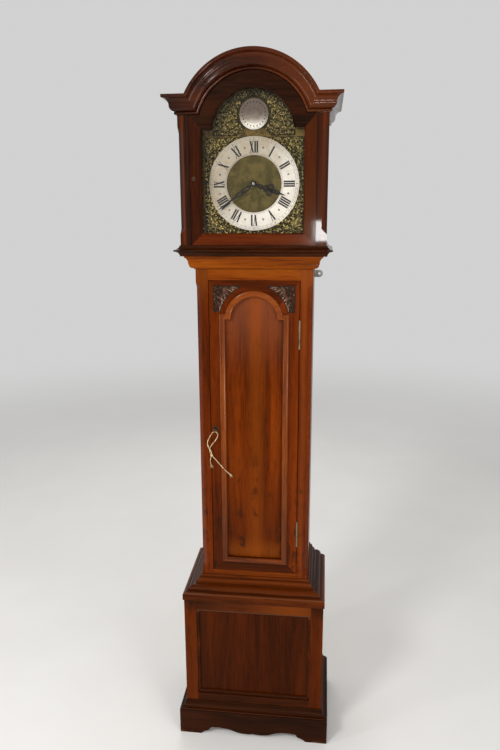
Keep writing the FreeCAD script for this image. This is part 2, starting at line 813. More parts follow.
def make_cornice():
    front_run, right_run, left_run = mitred_moulding(cornice_shares, hood_half, hood_front,
                                                     hood_shoulder_height,
                                                     cornice_projection, cornice_height)
    zone = arch_zone(hood_front - cornice_projection - small_overrun, hood_front + small_overrun)
    shoulders = front_run.cut(zone)
    face = moulding_face(cornice_shares, cornice_projection, cornice_height,
                         lambda out, up: Vector(0, hood_front - out,
                                                arch_centre_height + arch_moulding_radius + up))
    centre = Vector(0, 0, arch_centre_height)
    turn = face.copy()
    turn.rotate(centre, Vector(0, 1, 0), -90)
    arch = turn.revolve(centre, Vector(0, 1, 0), 180)
    arch = arch.common(zone)
    export("hood_cornice", arch, shoulders, right_run, left_run)


def make_mask():
    y0 = hood_front + front_board + flat_play
    y1 = y0 + mask_board
    outer = break_arch_prism(hood_side_inner - panel_play, hood_floor_height + panel_play,
                             cornice_top_height - roof_board - panel_play,
                             arch_outer_radius - roof_board - panel_play, arch_centre_height, y0, y1)
    half = dial_half - mask_lap
    shoulder = dial_centre_height + half
    hole = break_arch_prism(half, dial_centre_height - half, shoulder, dial_arch_radius - mask_lap,
                            glass_arch_centre_height, y0 - small_overrun, y1 + small_overrun)
    export("dial_mask", outer.cut(hole))


def make_hood_door():
    half = hood_half - hood_post_width - hood_door_gap
    y0 = hood_front
    y1 = hood_front + front_board
    shoulder = hood_shoulder_height - door_end_gap
    radius = arch_moulding_radius - hood_door_gap
    frame = break_arch_prism(half, hood_floor_height + door_end_gap, shoulder, radius,
                             arch_centre_height, y0, y1)
    sight = break_arch_prism(glass_half_width, glass_bottom_height, glass_shoulder_height, glass_arch_radius,
                             glass_arch_centre_height, y0 - small_overrun, y1 + small_overrun)
    glass_back = y0 + glass_set_back
    rebate = break_arch_prism(glass_half_width + glass_rebate_width,
                              glass_bottom_height - glass_rebate_width,
                              glass_shoulder_height + glass_rebate_width,
                              glass_arch_radius + glass_rebate_width,
                              glass_arch_centre_height, glass_back, y1 + small_overrun)
    frame = frame.cut(sight)
    front_edges = []
    for edge in frame.Edges:
        middle = edge.CenterOfMass
        on_front = abs(edge.BoundBox.YMax - y0) < panel_play and abs(edge.BoundBox.YMin - y0) < panel_play
        inside_x = abs(middle.x) < glass_half_width + panel_play
        inside_z = glass_bottom_height - panel_play < middle.z < glass_arch_centre_height + glass_arch_radius
        if on_front and inside_x and inside_z:
            front_edges.append(edge)
    frame = frame.makeChamfer(sight_edge_round, front_edges)
    frame = frame.cut(rebate)
    pin_x = half - hood_pivot_inset
    pin_y = hood_front + hood_pivot_inset
    low_z = hood_floor_height + door_end_gap
    low_pin = rod_z(pin_x, pin_y, hood_pivot_radius, hood_floor_height - hood_pivot_length,
                    low_z + hood_pivot_length)
    high_pin = rod_z(pin_x, pin_y, hood_pivot_radius, shoulder - hood_pivot_length,
                     hood_shoulder_height + hood_pivot_length)
    frame = frame.cut(low_pin).cut(high_pin)
    collar = rod_z(pin_x, pin_y, hood_pivot_collar_radius, low_z - hood_pivot_collar, low_z)
    lock_x = -(half - hood_lock_from_edge)
    frame = frame.cut(rod_y(lock_x, hood_lock_height, hood_keyhole_radius, y0 - small_overrun,
                            y0 + glass_set_back))
    export("hood_door_frame", frame)
    lap = glass_rebate_width - panel_play
    glass = break_arch_prism(glass_half_width + lap, glass_bottom_height - lap, glass_shoulder_height + lap,
                             glass_arch_radius + lap, glass_arch_centre_height,
                             glass_back, glass_back + glass_thickness)
    export("hood_door_glass", glass)
    lock = ring_y(lock_x, hood_lock_height, hood_lock_radius, hood_keyhole_radius,
                  y0 - hood_lock_thickness, y0)
    export("hood_door_fittings", lock, low_pin.fuse(collar).removeSplitter(), high_pin)


def make_dial():
    half = dial_half
    z0 = dial_centre_height - half
    shoulder = dial_centre_height + half
    plate = break_arch_prism(half, z0, shoulder, dial_arch_radius, glass_arch_centre_height,
                             dial_front, dial_back)
    plate = plate.cut(rod_y(0, dial_centre_height, dial_hole_radius, dial_front - small_overrun,
                            dial_back + small_overrun))
    feet = []
    for x in (-dial_foot_x, dial_foot_x):
        for z in (dial_centre_height - dial_foot_low, dial_centre_height + dial_foot_high):
            feet.append(rod_y(x, z, dial_foot_radius, dial_back, front_plate_front))
    export("dial_plate", plate, *feet)
    export("chapter_ring", ring_y(0, dial_centre_height, ring_outer_radius, ring_inner_radius,
                                  dial_front - ring_thickness, dial_front))
    export("dial_boss", rod_y(0, boss_height, boss_radius, dial_front - boss_thickness, dial_front))
    inner = half - spandrel_margin
    y0 = dial_front - spandrel_thickness
    field = box(-inner, inner, y0, dial_front, z0 + spandrel_margin,
                arch_ornament_bottom - spandrel_ring_gap)
    field = field.cut(rod_y(0, dial_centre_height, ring_outer_radius + spandrel_ring_gap,
                            y0 - small_overrun, dial_front + small_overrun))
    arch = break_arch_prism(inner, arch_ornament_bottom + spandrel_ring_gap, shoulder - spandrel_margin,
                            dial_arch_radius - spandrel_margin, glass_arch_centre_height, y0, dial_front)
    for x, z, radius in ((0, boss_height, boss_radius), (0, dial_centre_height, ring_outer_radius)):
        arch = arch.cut(rod_y(x, z, radius + spandrel_ring_gap, y0 - small_overrun,
                              dial_front + small_overrun))
    screws = []
    screw_x = dial_half - dial_screw_from_edge
    for x in (-screw_x, screw_x):
        seat = rod_y(x, dial_centre_height, dial_screw_radius + panel_play, y0 - small_overrun,
                     dial_front + small_overrun)
        field = field.cut(seat)
        screws.append(rod_y(x, dial_centre_height, dial_screw_radius, dial_front - dial_screw_height,
                            dial_front))
    export("dial_spandrels", field, arch, *screws)


def blade(start, end, wide, narrow, y0):
    z = dial_centre_height
    points = [(-narrow / 2, z + start), (narrow / 2, z + start), (wide / 2, z + (start + end) / 2),
              (0, z + end), (-wide / 2, z + (start + end) / 2)]
    return prism_xz(points, y0, y0 + hand_thickness)


def turned(shape, angle):
    copy = shape.copy()
    copy.rotate(Vector(0, 0, dial_centre_height), Vector(0, 1, 0), angle)
    return copy


def long_loop(start, length, width, y0):
    """A long pierced loop: two bowed strands that meet at both ends."""
    z = dial_centre_height + start

    def leaf(inset, front, back):
        low, high, side = z + inset, z + length - inset, width / 2 - inset
        return prism_xz([(0, low), ((side, z + length / 2), (0, high)), ((-side, z + length / 2), (0, low))],
                        front, back)
    hole = leaf(hand_strand_width, y0 - small_overrun, y0 + hand_thickness + small_overrun)
    return leaf(0, y0, y0 + hand_thickness).cut(hole)


def make_hands():
    z = dial_centre_height
    y0 = dial_front - ring_thickness - minute_hand_stand_off
    loop_start = hand_eye_radius - hand_strand_width
    loop_end = loop_start + minute_loop_length
    eye = ring_y(0, z, hand_eye_radius, centre_arbor_radius, y0, y0 + hand_thickness)
    loop = long_loop(loop_start, minute_loop_length, minute_loop_width, y0)
    collar = rod_y(0, z + loop_end, hand_collar_radius, y0, y0 + hand_thickness)
    high = blade(loop_end, minute_hand_length, hand_waist_width, hand_blade_width, y0)
    hand = eye.fuse([loop, collar, high]).removeSplitter()
    nut = ring_y(0, z, hand_nut_radius, centre_arbor_radius, y0 - hand_nut_thickness, y0)
    export("minute_hand", turned(hand, minute_hand_angle), nut)
    y1 = dial_front - ring_thickness - hour_hand_stand_off
    eye = ring_y(0, z, hand_eye_radius, hour_pipe_radius, y1, y1 + hand_thickness)
    pieces = []
    for side in (-1, 1):
        pieces.append(ring_y(side * hour_loop_radius, z + hour_loop_distance, hour_loop_radius,
                             hour_loop_radius - hand_strand_width, y1, y1 + hand_thickness))
    pieces.append(rod_y(0, z + hour_loop_distance, hour_crossing_radius, y1, y1 + hand_thickness))
    pieces.append(blade(hand_eye_radius - arris_radius, hour_loop_distance, hand_waist_width,
                        hand_blade_width, y1))
    pieces.append(blade(hour_loop_distance, hour_hand_length, hand_waist_width, hand_blade_width, y1))
    export("hour_hand", turned(eye.fuse(pieces).removeSplitter(), hour_hand_angle))


def toothed_face(teeth, module, y, x, z, phase):
    """A wheel's outline in the XZ plane, one tooth's middle at the phase angle from +X towards +Z."""
    pitch = 2 * math.pi / teeth
    tip = module * (teeth / 2 + addendum_share)
    root = module * (teeth / 2 - dedendum_share)
    points = []
    for tooth in range(teeth):
        middle = phase + tooth * pitch
        for radius, share in ((root, -tooth_root_share), (tip, -tooth_tip_share),
                              (tip, tooth_tip_share), (root, tooth_root_share)):
            angle = middle + share * pitch / 2
            points.append(Vector(x + radius * math.cos(angle), y, z + radius * math.sin(angle)))
    points.append(points[0])
    return Part.Face(Part.makePolygon(points))


def toothed_wheel(teeth, module, x, z, y0, thickness, phase):
    return toothed_face(teeth, module, y0, x, z, phase).extrude(Vector(0, thickness, 0))


def crossings(x, z, outer, y0, y1):
    """The windows between a wheel's arms."""
    windows = []
    inner = wheel_hub_radius
    quarter = 2 * math.pi / crossing_count
    for index in range(crossing_count):
        middle = index * quarter + quarter / 2
        points = []
        for radius, side in ((inner, -1), (outer, -1), (outer, 0), (outer, 1), (inner, 1)):
            spread = quarter / 2 - math.asin(crossing_width / 2 / radius)
            angle = middle + side * spread
            points.append((x + radius * math.cos(angle), z + radius * math.sin(angle)))
        windows.append(prism_xz(points, y0 - small_overrun, y1 + small_overrun))
    return windows


def meshed_phase(phase, teeth, other_teeth, place, other_place):
    """The phase that puts the other wheel's gap opposite this wheel's tooth on the line of centres."""
    line = math.atan2(other_place[1] - place[1], other_place[0] - place[0])
    offset = (phase - line) * teeth / (2 * math.pi)
    return line + math.pi - (offset + 1 / 2) * 2 * math.pi / other_teeth


def beside(place, distance, degrees):
    angle = math.radians(degrees)
    return (place[0] + distance * math.cos(angle), place[1] + distance * math.sin(angle))


# Places of the arbors in the XZ plane, each a mesh distance from the one before
centre_place = (0.0, dial_centre_height)
great_bearing = -32.2
third_bearing = 50.0
strike_bearing = 221.4
pin_bearing = 100.0
warning_bearing = 80.0
fly_bearing = 80.0
minute_wheel_bearing = 205.0
great_place = beside(centre_place, great_module * (great_teeth + going_leaves) / 2, great_bearing)
third_place = beside(centre_place, centre_module * (centre_teeth + going_leaves) / 2, third_bearing)
escape_distance = third_module * (third_teeth + going_leaves) / 2
escape_place = (0.0, third_place[1] + math.sqrt(escape_distance ** 2 - third_place[0] ** 2))
pallet_place = (0.0, escape_place[1] + pallet_arm_radius + pallet_arbor_above_arms)
strike_reach = 45.3
strike_great_place = beside(centre_place, strike_reach, strike_bearing)
pin_place = beside(strike_great_place, great_module * (strike_great_teeth + pin_leaves) / 2, pin_bearing)
warning_place = beside(pin_place, pin_module * (pin_teeth + upper_leaves) / 2, warning_bearing)
fly_place = beside(warning_place, warning_module * (warning_teeth + upper_leaves) / 2, fly_bearing)
minute_wheel_place = beside(centre_place, cannon_module * (cannon_teeth + minute_wheel_teeth) / 2,
                            minute_wheel_bearing)
hammer_place = (-hammer_x, dial_centre_height - hammer_drop)


def plane(index):
    """The front face of a wheel in one of the planes between the plates."""
    return front_plate_back + first_plane + plane_step * index - wheel_thickness / 2


def arbor(place, front_pivot=True):
    x, z = place
    body = rod_y(x, z, arbor_radius, front_plate_back + arbor_end_play, back_plate_front - arbor_end_play)
    back_pivot = rod_y(x, z, pivot_radius, back_plate_front - arbor_end_play - small_overrun,
                       back_plate_back)
    body = body.fuse(back_pivot)
    if front_pivot:
        body = body.fuse(rod_y(x, z, pivot_radius, front_plate_front,
                               front_plate_back + arbor_end_play + small_overrun))
    return body


def arbor_with(place, parts, front_pivot=True):
    return arbor(place, front_pivot).fuse(parts).removeSplitter()


def crossed_wheel(teeth, module, place, y0, phase):
    x, z = place
    wheel = toothed_wheel(teeth, module, x, z, y0, wheel_thickness, phase)
    rim = module * (teeth / 2 - dedendum_share) - wheel_rim
    return wheel.cut(crossings(x, z, rim, y0, y0 + wheel_thickness))


def chain_wheel(place):
    x, z = place
    middle = front_plate_front + chain_plane_from_front
    groove = chain_radius + chain_groove_play
    core = rod_y(x, z, chain_wheel_radius - chain_radius - chain_groove_play, middle - groove,
                 middle + groove)
    parts = [core]
    flange = chain_wheel_radius + chain_wheel_flange
    for low in (middle - groove - chain_wheel_flange_thickness, middle + groove):
        parts.append(rod_y(x, z, flange, low, low + chain_wheel_flange_thickness))
    return parts


def make_going_train():
    great_y = plane(2)
    centre_y = plane(0)
    third_y = plane(3)
    escape_y = plane(4) - wheel_thickness / 2
    great_phase = 0.0
    centre_pinion_phase = meshed_phase(great_phase, great_teeth, going_leaves, great_place, centre_place)
    centre_phase = 0.0
    third_pinion_phase = meshed_phase(centre_phase, centre_teeth, going_leaves, centre_place, third_place)
    third_phase = 0.0
    escape_pinion_phase = meshed_phase(third_phase, third_teeth, going_leaves, third_place, escape_place)

    def pinion(place, module, wheel_y, phase):
        return toothed_wheel(going_leaves, module, place[0], place[1],
                             wheel_y + wheel_thickness / 2 - pinion_length / 2, pinion_length, phase)
    great = crossed_wheel(great_teeth, great_module, great_place, great_y, great_phase)
    export("going_great_wheel", arbor_with(great_place, [great] + chain_wheel(great_place)))
    centre = crossed_wheel(centre_teeth, centre_module, centre_place, centre_y, centre_phase)
    centre_parts = [centre, pinion(centre_place, great_module, great_y, centre_pinion_phase)]
    export("centre_wheel", make_centre_arbor(centre_parts))
    third = crossed_wheel(third_teeth, third_module, third_place, third_y, third_phase)
    export("third_wheel", arbor_with(third_place, [third, pinion(third_place, centre_module, centre_y,
                                                                third_pinion_phase)]))
    escape = escape_wheel(escape_y)
    export("escape_wheel", arbor_with(escape_place, [escape, pinion(escape_place, third_module, third_y,
                                                                   escape_pinion_phase)]))
    return escape_y


def escape_wheel(y0):
    """Pointed teeth leaning forward, radial on the side that meets the pallets."""
    pitch = 2 * math.pi / escape_teeth
    root = escape_radius - escape_tooth_depth
    x, z = escape_place
    points = []
    for tooth in range(escape_teeth):
        angle = tooth * pitch
        for radius, share in ((root, -escape_slope_share), (escape_radius, 0), (root, escape_face_share)):
            here = angle + share * pitch
            points.append(Vector(x + radius * math.cos(here), y0, z + radius * math.sin(here)))
    points.append(points[0])
    wheel = Part.Face(Part.makePolygon(points)).extrude(Vector(0, wheel_thickness / 2, 0))
    return wheel.cut(crossings(x, z, root - wheel_rim / 2, y0, y0 + wheel_thickness))


escape_slope_share = 0.55
escape_face_share = 0.10


def make_centre_arbor(parts):
    """The centre arbor runs on through the front plate and carries the cannon pinion and minute hand."""
    x, z = centre_place
    cannon_back = front_plate_front - arbor_end_play
    hand_back = dial_front - ring_thickness - minute_hand_stand_off + hand_thickness
    spindle = rod_y(x, z, centre_arbor_radius, hand_back - hand_thickness - hand_nut_thickness,
                    front_plate_back + arbor_end_play + small_overrun)
    pipe = rod_y(x, z, cannon_pipe_radius, hand_back, cannon_back)
    cannon = toothed_wheel(cannon_teeth, cannon_module, x, z,
                           cannon_back - motion_front_gap - motion_wheel_thickness,
                           motion_front_gap + motion_wheel_thickness, 0.0)
    return arbor_with(centre_place, parts + [spindle, pipe, cannon], front_pivot=False)


def make_motion_work():
    x, z = centre_place
    cannon_back = front_plate_front - arbor_end_play
    wheel_y = cannon_back - motion_front_gap - motion_wheel_thickness
    mx, mz = minute_wheel_place
    phase = meshed_phase(0.0, cannon_teeth, minute_wheel_teeth, centre_place, minute_wheel_place)
    wheel = toothed_wheel(minute_wheel_teeth, cannon_module, mx, mz, wheel_y, motion_wheel_thickness, phase)
    hour_y = wheel_y - hour_wheel_forward
    pinion_front = hour_y - motion_wheel_thickness / 2
    pinion = toothed_wheel(minute_pinion_teeth, hour_module, mx, mz, pinion_front,
                           wheel_y - pinion_front, 0.0)
    bore = rod_y(mx, mz, motion_stud_radius + running_fit, pinion_front - small_overrun, cannon_back)
    export("minute_wheel", wheel.fuse(pinion).cut(bore).removeSplitter())
    hour_phase = meshed_phase(0.0, minute_pinion_teeth, hour_wheel_teeth, minute_wheel_place, centre_place)
    hour = toothed_wheel(hour_wheel_teeth, hour_module, x, z, hour_y, motion_wheel_thickness, hour_phase)
    hand_front = dial_front - ring_thickness - hour_hand_stand_off
    pipe = rod_y(x, z, hour_pipe_radius, hand_front, hour_y + motion_wheel_thickness)
    hole = rod_y(x, z, cannon_pipe_radius + running_fit, hand_front - small_overrun,
                 hour_y + motion_wheel_thickness + small_overrun)
    export("hour_wheel", hour.fuse(pipe).cut(hole).removeSplitter())
    return rod_y(mx, mz, motion_stud_radius, pinion_front - small_overrun, front_plate_front)


def make_strike_train():
    great_y = plane(1)
    pin_y = plane(3)
    warning_y = plane(0)
    pin_phase = meshed_phase(0.0, strike_great_teeth, pin_leaves, strike_great_place, pin_place)
    warning_phase = meshed_phase(0.0, pin_teeth, upper_leaves, pin_place, warning_place)
    fly_phase = meshed_phase(0.0, warning_teeth, upper_leaves, warning_place, fly_place)

    def pinion(place, leaves, module, wheel_y, phase):
        return toothed_wheel(leaves, module, place[0], place[1],
                             wheel_y + wheel_thickness / 2 - pinion_length / 2, pinion_length, phase)
    great = crossed_wheel(strike_great_teeth, great_module, strike_great_place, great_y, 0.0)
    export("strike_great_wheel", arbor_with(strike_great_place, [great] + chain_wheel(strike_great_place)))
    pin_wheel = crossed_wheel(pin_teeth, pin_module, pin_place, pin_y, 0.0)
    pin_pinion = pinion(pin_place, pin_leaves, great_module, great_y, pin_phase)
    pins = []
    for index in range(lift_pin_count):
        angle = 2 * math.pi * index / lift_pin_count
        pins.append(rod_y(pin_place[0] + lift_pin_circle_radius * math.cos(angle),
                          pin_place[1] + lift_pin_circle_radius * math.sin(angle),
                          lift_pin_radius, pin_y, pin_y + wheel_thickness + lift_pin_length))
    export("pin_wheel", arbor_with(pin_place, [pin_wheel, pin_pinion] + pins))
    warning = crossed_wheel(warning_teeth, warning_module, warning_place, warning_y, 0.0)
    warning_pinion = pinion(warning_place, upper_leaves, pin_module, pin_y, warning_phase)
    export("warning_wheel", arbor_with(warning_place, [warning, warning_pinion]))
    x, z = fly_place
    vane_y = pin_y - fly_vane_length
    vane = box(x - fly_vane_radius, x + fly_vane_radius, vane_y, vane_y + fly_vane_length,
               z - fly_vane_thickness / 2, z + fly_vane_thickness / 2)
    fly_pinion = pinion(fly_place, upper_leaves, warning_module, warning_y, fly_phase)
    export("fly", arbor_with(fly_place, [vane, fly_pinion]))
    return pin_y


def make_movement_frame(stud):
    z0 = seatboard_top
    half = plate_width / 2
    front = box(-half, half, front_plate_front, front_plate_back, z0, plate_top_height)
    back = box(-half, half, back_plate_front, back_plate_back, z0, plate_top_height)
    y0 = front_plate_front - small_overrun
    y1 = back_plate_back + small_overrun
    for place in (great_place, third_place, escape_place, strike_great_place, pin_place, warning_place,
                  fly_place, hammer_place):
        hole = rod_y(place[0], place[1], pivot_radius + running_fit, y0, y1)
        front = front.cut(hole)
        back = back.cut(hole)
    front = front.cut(rod_y(centre_place[0], centre_place[1], centre_arbor_radius + running_fit, y0, y1))
    back = back.cut(rod_y(centre_place[0], centre_place[1], pivot_radius + running_fit, y0, y1))
    front = front.cut(rod_y(pallet_place[0], pallet_place[1], pivot_radius + running_fit, y0, y1))
    back = back.cut(rod_y(pallet_place[0], pallet_place[1], arbor_radius + flat_play, y0, y1))
    back = back.cut(rod_y(hammer_place[0], hammer_place[1], hammer_arm_radius + running_fit, y0, y1))
    pillars = []
    for x in (-half + pillar_from_side, half - pillar_from_side):
        for z in (z0 + pillar_from_edge, plate_top_height - pillar_from_edge):
            pillars.append(rod_y(x, z, pillar_radius, front_plate_back, back_plate_front))
    x, z = pallet_place
    web_y = back_plate_back + cock_behind_plate
    web = box(-cock_half_width, cock_half_width, web_y, web_y + cock_web_thickness, z - cock_drop,
              z + cock_rise)
    leg = box(cock_half_width - cock_leg_width, cock_half_width, back_plate_back, web_y, z - cock_drop,
              z + cock_rise)
    arm_end = back_plate_back + pendulum_behind_plate + spring_width
    arm = box(-cock_half_width / 2, cock_half_width / 2, web_y + cock_web_thickness, arm_end,
              z + cock_arm_gap, z + cock_rise)
    cock = web.fuse(mirrored_pair(leg) + [arm]).cut(
        rod_y(x, z, pivot_radius + running_fit, back_plate_back, web_y + cock_web_thickness + small_overrun))
    export("movement_frame", front.fuse(stud), back, cock.removeSplitter(), *pillars)


def make_escapement(escape_y):
    x, z = pallet_place
    web_y = back_plate_back + cock_behind_plate
    spindle_end = web_y - arbor_end_play
    spindle = rod_y(x, z, arbor_radius, front_plate_back + arbor_end_play, spindle_end)
    front_pivot = rod_y(x, z, pivot_radius, front_plate_front,
                        front_plate_back + arbor_end_play + small_overrun)
    back_pivot = rod_y(x, z, pivot_radius, spindle_end - small_overrun, web_y + cock_web_thickness)
    thick = wheel_thickness / 2
    inner = pallet_arm_radius
    outer = pallet_arm_radius + pallet_arm_width
    ring = ring_y(escape_place[0], escape_place[1], outer, inner, escape_y, escape_y + thick)
    half_span = math.radians(pallet_span_angle)
    reach = outer + overrun
    wedge = prism_xz([(escape_place[0], escape_place[1]),
                      (escape_place[0] + reach * math.sin(half_span),
                       escape_place[1] + reach * math.cos(half_span)),
                      (escape_place[0] - reach * math.sin(half_span),
                       escape_place[1] + reach * math.cos(half_span))],
                     escape_y - small_overrun, escape_y + thick + small_overrun)
    anchor = ring.common(wedge)
    for side in (-1, 1):
        angle = half_span - pallet_arm_width / 2 / outer
        cx = escape_place[0] + side * math.sin(angle) * (inner + outer) / 2
        cz = escape_place[1] + math.cos(angle) * (inner + outer) / 2
        tip_x = escape_place[0] + side * math.sin(angle) * (escape_radius + pallet_play)
        tip_z = escape_place[1] + math.cos(angle) * (escape_radius + pallet_play)
        wide = pallet_arm_width / 2
        normal_x = math.cos(angle) * wide * side
        normal_z = -math.sin(angle) * wide
        end_x = normal_x * pallet_tip_share
        end_z = normal_z * pallet_tip_share
        corners = [(cx + normal_x, cz + normal_z), (tip_x + end_x, tip_z + end_z),
                   (tip_x - end_x, tip_z - end_z), (cx - normal_x, cz - normal_z)]
        anchor = anchor.fuse(prism_xz(corners, escape_y, escape_y + thick))
    stem = box(-pallet_arm_width / 2, pallet_arm_width / 2, escape_y, escape_y + thick,
               escape_place[1] + inner + pallet_arm_width * stem_lap_share, z)
    crutch_y = back_plate_back + crutch_behind_plate
    crutch = box(-crutch_width / 2, crutch_width / 2, crutch_y, crutch_y + crutch_thickness,
                 z - crutch_length, z)
    fork_in = pendulum_rod_radius + crutch_fork_gap
    fork_out = fork_in + crutch_fork_width
    rod_y_place = back_plate_back + pendulum_behind_plate
    fork = []
    yoke = box(-fork_out, fork_out, crutch_y, crutch_y + crutch_thickness, z - crutch_length,
               z - crutch_length + crutch_width)
    for side in (-1, 1):
        low = min(side * fork_in, side * fork_out)
        fork.append(box(low, low + crutch_fork_width, crutch_y, rod_y_place + pendulum_rod_radius,
                        z - crutch_length, z - crutch_length + crutch_width))
    shape = spindle.fuse([front_pivot, back_pivot, anchor, stem, crutch, yoke] + fork)
    export("pallets", shape.removeSplitter())


def make_pendulum():
    y = back_plate_back + pendulum_behind_plate
    top = pallet_place[1]
    spring_top = top + cock_arm_gap - sliding_play
    spring = box(-spring_thickness / 2, spring_thickness / 2, y - spring_width / 2, y + spring_width / 2,
                 top - spring_length, spring_top)
    block = box(-spring_block_thickness / 2, spring_block_thickness / 2, y - spring_block_width / 2,
                y + spring_block_width / 2, top - spring_length - spring_block_length,
                top - spring_length)
    bob_z = top - pendulum_length
    nut_top = bob_z - bob_radius
    rod_end = nut_top - rating_nut_thickness - rod_below_nut
    rod = rod_z(0, y, pendulum_rod_radius, rod_end, top - spring_length - spring_block_length)
    nut = rod_z(0, y, rating_nut_radius, nut_top - rating_nut_thickness, nut_top)
    nut = nut.cut(rod_z(0, y, pendulum_rod_radius, rod_end, top))
    export("pendulum_rod", spring.fuse([block, rod]).removeSplitter(), nut)
    half = bob_thickness / 2
    profile = closed_face((0, 0), [(0, half), ((bob_radius * bob_crown_share[0], half * bob_crown_share[1]),
                                               (bob_radius, bob_edge / 2)),
                                   (bob_radius, 0)],
                          lambda r, up: Vector(r, y - up, bob_z))
    cap = profile.revolve(Vector(0, y, bob_z), Vector(0, 1, 0), 360)
    bob = cap.fuse(cap.mirror(Vector(0, y, bob_z), Vector(0, 1, 0))).removeSplitter()
    bob = bob.cut(rod_z(0, y, pendulum_rod_radius + running_fit, bob_z - bob_radius - small_overrun,
                        bob_z + bob_radius + small_overrun))
    export("pendulum_bob", bob)


bob_crown_share = (0.58, 0.74)


def torus_piece(centre, axis, major, minor):
    return Part.makeTorus(major, minor, centre, axis)


def make_weight(name, place):
    x = place[0] - chain_wheel_radius
    y = front_plate_front + chain_plane_from_front
    z0 = weight_bottom_height
    body = rod_z(x, y, weight_radius, z0, z0 + weight_length)
    rims = [edge for edge in body.Edges if edge.Closed]
    body = body.makeFillet(weight_edge_round, rims)
    cap = rod_z(x, y, weight_cap_radius, z0 + weight_length - small_overrun,
                z0 + weight_length + weight_cap_height)
    hook_z = z0 + weight_length + weight_cap_height + weight_hook_radius - weight_hook_wire / 2
    hook = torus_piece(Vector(x, y, hook_z), Vector(0, 1, 0), weight_hook_radius, weight_hook_wire)
    export(name, body.fuse([cap, hook]).removeSplitter())
    return hook_z + weight_hook_radius + weight_hook_wire


def make_chains(hook_top):
    y = front_plate_front + chain_plane_from_front
    tails = []
    for name, place in (("going_chain", great_place), ("strike_chain", strike_great_place)):
        x, z = place
        export(name, rod_z(x - chain_wheel_radius, y, chain_radius, hook_top, z))
        tail_low = z - chain_tail_length
        tail = rod_z(x + chain_wheel_radius, y, chain_radius, tail_low, z)
        over = torus_piece(Vector(x, y, z), Vector(0, 1, 0), chain_wheel_radius, chain_radius)
        over = over.common(box(x - overrun, x + overrun, y - overrun, y + overrun, z, z + overrun))
        ring = torus_piece(Vector(x + chain_wheel_radius, y, tail_low - chain_ring_radius), Vector(1, 0, 0),
                           chain_ring_radius, chain_ring_wire)
        tails += [tail.fuse([over, ring]).removeSplitter()]
    export("chain_tails", *tails)


def make_hammer(pin_y):
    x, z = hammer_place
    gong_x = x - hammer_head_radius - gong_play - gong_rod_radius
    arm_y = backboard_front - hammer_from_back
    rod_front = backboard_front - gong_rod_from_back + gong_rod_radius
    head_end = rod_front + hammer_head_length * hammer_reach_share
    spindle = rod_y(x, z, arbor_radius, front_plate_back + arbor_end_play, back_plate_front - arbor_end_play)
    front_pivot = rod_y(x, z, pivot_radius, front_plate_front,
                        front_plate_back + arbor_end_play + small_overrun)
    back_part = rod_y(x, z, hammer_arm_radius, back_plate_front - arbor_end_play - small_overrun, arm_y)
    arm = box(x - hammer_arm_radius, x + hammer_arm_radius, arm_y - hammer_arm_radius,
              arm_y + hammer_arm_radius,
              z - hammer_arm_radius, z + hammer_arm_length)
    head = rod_y(x, z + hammer_arm_length, hammer_head_radius, arm_y - hammer_arm_radius, head_end)
    px, pz = pin_place
    distance = math.hypot(px - x, pz - z)
    length = distance - lift_pin_circle_radius - lift_pin_radius - hammer_tail_play
    tail = box(x, x + length, pin_y + wheel_thickness + sliding_play * 2,
               pin_y + wheel_thickness + lift_pin_length, z - hammer_tail_width / 2,
               z + hammer_tail_width / 2)
    tail.rotate(Vector(x, 0, z), Vector(0, 1, 0), -math.degrees(math.atan2(pz - z, px - x)))
    export("hammer", spindle.fuse([front_pivot, back_part, arm, head, tail]).removeSplitter())
    rod_top = dial_centre_height + gong_block_rise
    block = box(gong_x - gong_block_width / 2, gong_x + gong_block_width / 2,
                backboard_front - gong_rod_from_back - gong_rod_spacing
                - gong_block_height * gong_block_lap_share, backboard_front, rod_top,
                rod_top + gong_block_height)
    rods = []
    for index in range(2):
        y = backboard_front - gong_rod_from_back - gong_rod_spacing * index
        rods.append(rod_z(gong_x, y, gong_rod_radius,
                          rod_top - gong_rod_length * (1 - index * gong_step_share),
                          rod_top))
    export("rod_gong", block.fuse(rods).removeSplitter())


def moulding_outline(grow):
    half = panel_half_width + grow
    bottom = panel_bottom_height - grow
    shoulder = panel_arch_centre_height + grow
    radius = panel_arch_radius + grow
    return break_arch_steps(half, bottom, shoulder, radius, panel_arch_centre_height)


